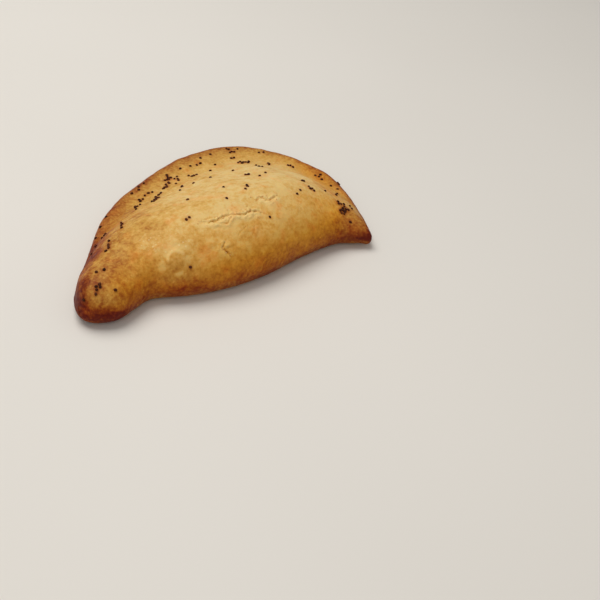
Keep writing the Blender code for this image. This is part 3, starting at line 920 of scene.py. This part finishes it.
def flakes_mesh(crust):
    """Thin pale flakes and crumbs that have come loose beside the cracks."""
    draw = random.Random(DRAW + 2)
    points = vertex_points(crust) / MM
    normals = vertex_normals(crust)
    tree = KDTree(len(points))
    for index, point in enumerate(points):
        tree.insert(point, index)
    tree.balance()
    shapes = []
    for crack, count in zip(CRACKS, FLAKE_COUNTS):
        line_place, line_across = crack_line(crack)
        for _ in range(count):
            at = draw.randrange(len(line_place))
            place = line_place[at] + draw.gauss(0, FLAKE_SPREAD)
            across = line_across[at] + draw.gauss(FLAKE_SIDE, FLAKE_SIDE_SPREAD)
            point, _ = skin_point(place, min(max(across, FLAKE_SHARES[0]), FLAKE_SHARES[1]))
            near = tree.find(point)[1]
            shapes.append(flake(draw, Vector(points[near]), Vector(normals[near])))
    return joined("crust_flakes", shapes)


def flake(draw, point, normal):
    """A thin irregular plate, lying a little tilted."""
    corners = draw.randrange(*FLAKE_CORNERS)
    radius = draw.uniform(*FLAKE_RADIUS)
    thickness = draw.uniform(*FLAKE_THICKNESS)
    tilt = Matrix.Rotation(draw.uniform(-FLAKE_TILT, FLAKE_TILT), 3, "X")
    spin = Matrix.Rotation(draw.uniform(0, FLAKE_TURN), 3, "Z")
    facing = normal.to_track_quat("Z", "Y").to_matrix() @ (tilt @ spin)
    ring = []
    for corner in range(corners):
        angle = 2 * math.pi * (corner + draw.uniform(-FLAKE_UNEVENNESS, FLAKE_UNEVENNESS)) / corners
        reach = radius * draw.uniform(*FLAKE_REACH)
        ring.append((reach * math.cos(angle), reach * FLAKE_SQUASH * math.sin(angle)))
    upper = [Vector((x, y, thickness)) for x, y in ring]
    under = [Vector((x * FLAKE_UNDERSIDE, y * FLAKE_UNDERSIDE, 0)) for x, y in ring]
    middle = [Vector((0, 0, thickness * FLAKE_CROWN)), Vector((0, 0, 0))]
    placed = np.array([tuple(point + facing @ corner) for corner in upper + under + middle])
    top, bottom = 2 * corners, 2 * corners + 1
    faces = []
    for corner in range(corners):
        after = (corner + 1) % corners
        faces.append((corner, after, top))
        faces.append((corners + after, corners + corner, bottom))
        faces.append((corners + corner, corners + after, after, corner))
    return placed, faces, draw.random()


class Nodes:
    """Short names for building a material's nodes."""

    def __init__(self, name):
        self.material = bpy.data.materials.new(name)
        self.material.use_nodes = True
        self.tree = self.material.node_tree
        self.shader = self.tree.nodes["Principled BSDF"]

    def node(self, kind, **settings):
        made = self.tree.nodes.new(kind)
        for key, value in settings.items():
            setattr(made, key, value)
        return made

    def put(self, socket, value):
        if isinstance(value, bpy.types.NodeSocket):
            self.tree.links.new(value, socket)
        elif value is not None:
            socket.default_value = value

    def math(self, operation, a, b, c=None):
        made = self.node("ShaderNodeMath", operation=operation)
        for socket, value in zip(made.inputs, (a, b, c)):
            self.put(socket, value)
        return made.outputs[0]

    def attribute(self, name, output="Fac"):
        made = self.node("ShaderNodeAttribute", attribute_name=name)
        return made.outputs[output]

    def noise(self, vector, scale, detail, roughness):
        made = self.node("ShaderNodeTexNoise")
        self.put(made.inputs["Vector"], vector)
        self.put(made.inputs["Scale"], scale)
        self.put(made.inputs["Detail"], detail)
        self.put(made.inputs["Roughness"], roughness)
        return made.outputs["Fac"]

    def voronoi(self, vector, scale):
        made = self.node("ShaderNodeTexVoronoi")
        self.put(made.inputs["Vector"], vector)
        self.put(made.inputs["Scale"], scale)
        return made.outputs["Distance"]

    def scaled(self, vector, scale):
        made = self.node("ShaderNodeVectorMath", operation="MULTIPLY")
        self.put(made.inputs[0], vector)
        made.inputs[1].default_value = scale
        return made.outputs[0]

    def range(self, value, low, high, to_low=0.0, to_high=1.0):
        made = self.node("ShaderNodeMapRange", interpolation_type="SMOOTHSTEP")
        self.put(made.inputs["Value"], value)
        self.put(made.inputs["From Min"], low)
        self.put(made.inputs["From Max"], high)
        self.put(made.inputs["To Min"], to_low)
        self.put(made.inputs["To Max"], to_high)
        return made.outputs["Result"]

    def ramp(self, value, stops):
        made = self.node("ShaderNodeValToRGB")
        self.put(made.inputs["Fac"], value)
        elements = made.color_ramp.elements
        while len(elements) < len(stops):
            elements.new(0.5)
        for element, (position, color) in zip(elements, stops):
            element.position = position
            element.color = (*color, 1)
        return made.outputs["Color"]

    def mix(self, factor, a, b, blend="MIX"):
        made = self.node("ShaderNodeMix", data_type="RGBA", blend_type=blend)
        self.put(made.inputs["Factor"], factor)
        self.put(made.inputs[6], a)
        self.put(made.inputs[7], b)
        return made.outputs[2]

    def tinted(self, factor, color, tint):
        return self.mix(factor, color, self.mix(1.0, color, tint, "MULTIPLY"))

    def add(self, value, amount, total):
        """The total with the value added so many times."""
        return self.math("MULTIPLY_ADD", value, amount, total)

    def swing(self, pattern, amount, total):
        """The total with a pattern that swings round its middle added."""
        return self.add(self.math("SUBTRACT", pattern, 0.5), amount, total)

    def bump(self, height, strength, millimetres):
        made = self.node("ShaderNodeBump")
        self.put(made.inputs["Height"], height)
        self.put(made.inputs["Strength"], strength)
        self.put(made.inputs["Distance"], millimetres * MM)
        self.put(self.shader.inputs["Normal"], made.outputs["Normal"])


def srgb(red, green, blue):
    """A colour given in 0 to 255 as a screen shows it, as the linear colour that shaders take."""
    return tuple(
        value / 12.92 if value <= 0.04045 else ((value + 0.055) / 1.055) ** 2.4
        for value in (red / 255, green / 255, blue / 255)
    )


def crust_material():
    """Baked dough, pale where highest, browner at the rim, the fold's foot and the tip, with painted shade at
    the foot and in the cracks and painted glints.
    """
    n = Nodes("golden_crust")
    where = n.node("ShaderNodeTexCoord").outputs["Object"]
    patches = n.noise(where, *PATCHES)
    mottles = n.noise(where, *MOTTLES)
    specks = n.noise(where, *SPECKS)
    streaks = n.noise(n.scaled(n.attribute("skin", "Vector"), STREAK_STRETCH), *STREAKS)
    lively = n.math("SUBTRACT", 1.0, n.attribute("calm"))
    brown_and_shade = n.attribute("browning_and_shade")
    brown_and_shade = n.swing(patches, n.math("MULTIPLY", lively, PATCH_TONE), brown_and_shade)
    brown_and_shade = n.swing(mottles, n.math("MULTIPLY", lively, MOTTLE_TONE), brown_and_shade)
    brown_and_shade = n.swing(streaks, STREAK_TONE, brown_and_shade)
    brown_and_shade = n.swing(specks, SPECK_TONE, brown_and_shade)
    for mark, tone in MARK_TONES:
        brown_and_shade = n.add(n.attribute(mark), tone, brown_and_shade)
    for scale, border, thinning, span, tone in SPOTS:
        spots = n.range(n.voronoi(where, scale), *border)
        chosen = n.range(n.noise(where, *thinning), *span)
        brown_and_shade = n.add(n.math("MULTIPLY", spots, chosen), tone, brown_and_shade)
    color = n.ramp(brown_and_shade, CRUST_COLORS)
    color = n.mix(n.range(n.attribute("lip"), *LIP_RANGE, 0.0, LIP_SHARE), color, LIP_COLOR)
    color = n.tinted(n.attribute("gold"), color, GLAZE_TINT)
    # Painted glints: light freckles mixed into the colour.
    glint_spots = n.range(n.voronoi(where, GLINT_SCALE), *GLINT_RANGE)
    glints = n.math("MULTIPLY", n.math("MULTIPLY", glint_spots, n.attribute("glints")), GLINT_SHARE)
    color = n.mix(glints, color, GLINT_COLOR)
    color = n.tinted(n.range(n.noise(where, *WARM_NOISE), *WARM_RANGE, 0.0, WARM_SHARE), color, WARM_TINT)
    color = n.tinted(n.range(n.attribute("stain"), *STAIN_RANGE, 0.0, STAIN_SHARE), color, STAIN_TINT)
    n.put(n.shader.inputs["Base Color"], color)
    sheen = n.noise(where, *SHEEN_NOISE)
    n.put(n.shader.inputs["Roughness"], n.range(sheen, *SHEEN_RANGE, *CRUST_ROUGHNESS))
    n.shader.inputs["Specular IOR Level"].default_value = CRUST_SHINE
    n.shader.inputs["Subsurface Weight"].default_value = CRUST_SCATTER
    n.shader.inputs["Subsurface Radius"].default_value = SCATTER_COLOR
    n.shader.inputs["Subsurface Scale"].default_value = SCATTER_DEPTH * MM
    grain = n.math("ADD", n.math("MULTIPLY", mottles, MOTTLE_BUMP), n.math("MULTIPLY", specks, SPECK_BUMP))
    n.bump(n.add(streaks, STREAK_BUMP, grain), CRUST_BUMP, CRUST_BUMP_HEIGHT)
    return n.material


def seed_material():
    """Poppy seeds: dark brown, with pale dust on the ridges."""
    n = Nodes("poppy_seed")
    where = n.node("ShaderNodeTexCoord").outputs["Object"]
    color = n.ramp(n.attribute("tone"), SEED_COLORS)
    grain = n.noise(where, *SEED_GRAIN)
    color = n.mix(n.range(grain, *SEED_DUST_RANGE, 0.0, SEED_DUST_SHARE), color, SEED_DUST)
    n.put(n.shader.inputs["Base Color"], color)
    n.put(n.shader.inputs["Roughness"], n.range(grain, *GRAIN_RANGE, *SEED_ROUGHNESS))
    n.shader.inputs["Specular IOR Level"].default_value = SEED_SHINE
    n.bump(n.voronoi(where, SEED_PITS), SEED_BUMP, SEED_BUMP_HEIGHT)
    return n.material


def flake_material():
    """Dry pale flakes of the crust."""
    n = Nodes("dry_flake")
    where = n.node("ShaderNodeTexCoord").outputs["Object"]
    grain = n.noise(where, *FLAKE_GRAIN)
    mixed = n.add(n.attribute("tone"), FLAKE_TONE, n.math("MULTIPLY", grain, FLAKE_GRAIN_TONE))
    color = n.ramp(mixed, [(position, srgb(*color)) for position, color in FLAKE_COLORS])
    n.put(n.shader.inputs["Base Color"], color)
    n.put(n.shader.inputs["Roughness"], n.range(grain, *GRAIN_RANGE, *FLAKE_ROUGHNESS))
    n.bump(grain, FLAKE_BUMP, FLAKE_BUMP_HEIGHT)
    return n.material


def floor_material():
    n = Nodes("pale_floor")
    where = n.node("ShaderNodeTexCoord").outputs["Object"]
    n.put(n.shader.inputs["Base Color"], n.ramp(n.noise(where, *FLOOR_NOISE), FLOOR_COLORS))
    n.shader.inputs["Roughness"].default_value = FLOOR_ROUGHNESS
    return n.material


def piece(mesh, look, *replaced):
    obj = bpy.data.objects.new(mesh.name, mesh)
    bpy.context.scene.collection.objects.link(obj)
    mesh.materials.append(look)
    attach(obj, "root")
    if replaced:
        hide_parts(*replaced)
    return obj


def area_light(name, location, size, energy):
    """A round lamp that shines at the turnover."""
    light = bpy.data.lights.new(name, "AREA")
    light.shape = "DISK"
    light.size = size
    light.energy = energy
    light.color = LIGHT_COLOR
    obj = bpy.data.objects.new(name, light)
    obj.location = location
    obj.rotation_euler = (-Vector(location)).to_track_quat("-Z", "Y").to_euler()
    bpy.context.scene.collection.objects.link(obj)


def studio():
    """A pale floor, soft light from above and behind, a fill from the front, and the photograph's camera."""
    bm = bmesh.new()
    bmesh.ops.create_grid(bm, x_segments=8, y_segments=8, size=FLOOR_HALF_SIZE)
    mesh = bpy.data.meshes.new("floor")
    bm.to_mesh(mesh)
    bm.free()
    floor = bpy.data.objects.new("floor", mesh)
    mesh.materials.append(floor_material())
    bpy.context.scene.collection.objects.link(floor)
    bpy.context.scene.view_settings.view_transform = "Standard"
    world = bpy.data.worlds.new("studio")
    world.use_nodes = True
    background = world.node_tree.nodes["Background"]
    background.inputs["Color"].default_value = (*LIGHT_COLOR, 1)
    background.inputs["Strength"].default_value = ROOM_STRENGTH
    bpy.context.scene.world = world
    for lamp in LAMPS:
        area_light(*lamp)
    camera = bpy.data.cameras.new("camera")
    camera.sensor_width = CAMERA_SENSOR
    camera.lens = CAMERA_LENS
    camera.clip_start = CAMERA_NEAR
    obj = bpy.data.objects.new("camera", camera)
    turn = Matrix((CAMERA_RIGHT, -Vector(CAMERA_DOWN), -Vector(CAMERA_AHEAD))).transposed().to_4x4()
    obj.matrix_world = Matrix.Translation(CAMERA_PLACE) @ turn
    bpy.context.scene.collection.objects.link(obj)
    bpy.context.scene.camera = obj


crust, crust_top = crust_mesh()
crust.shade_smooth()
piece(crust, crust_material(), "turnover")
piece(seeds_mesh(crust, crust_top), seed_material(), "turnover")
piece(flakes_mesh(crust), flake_material())
studio()
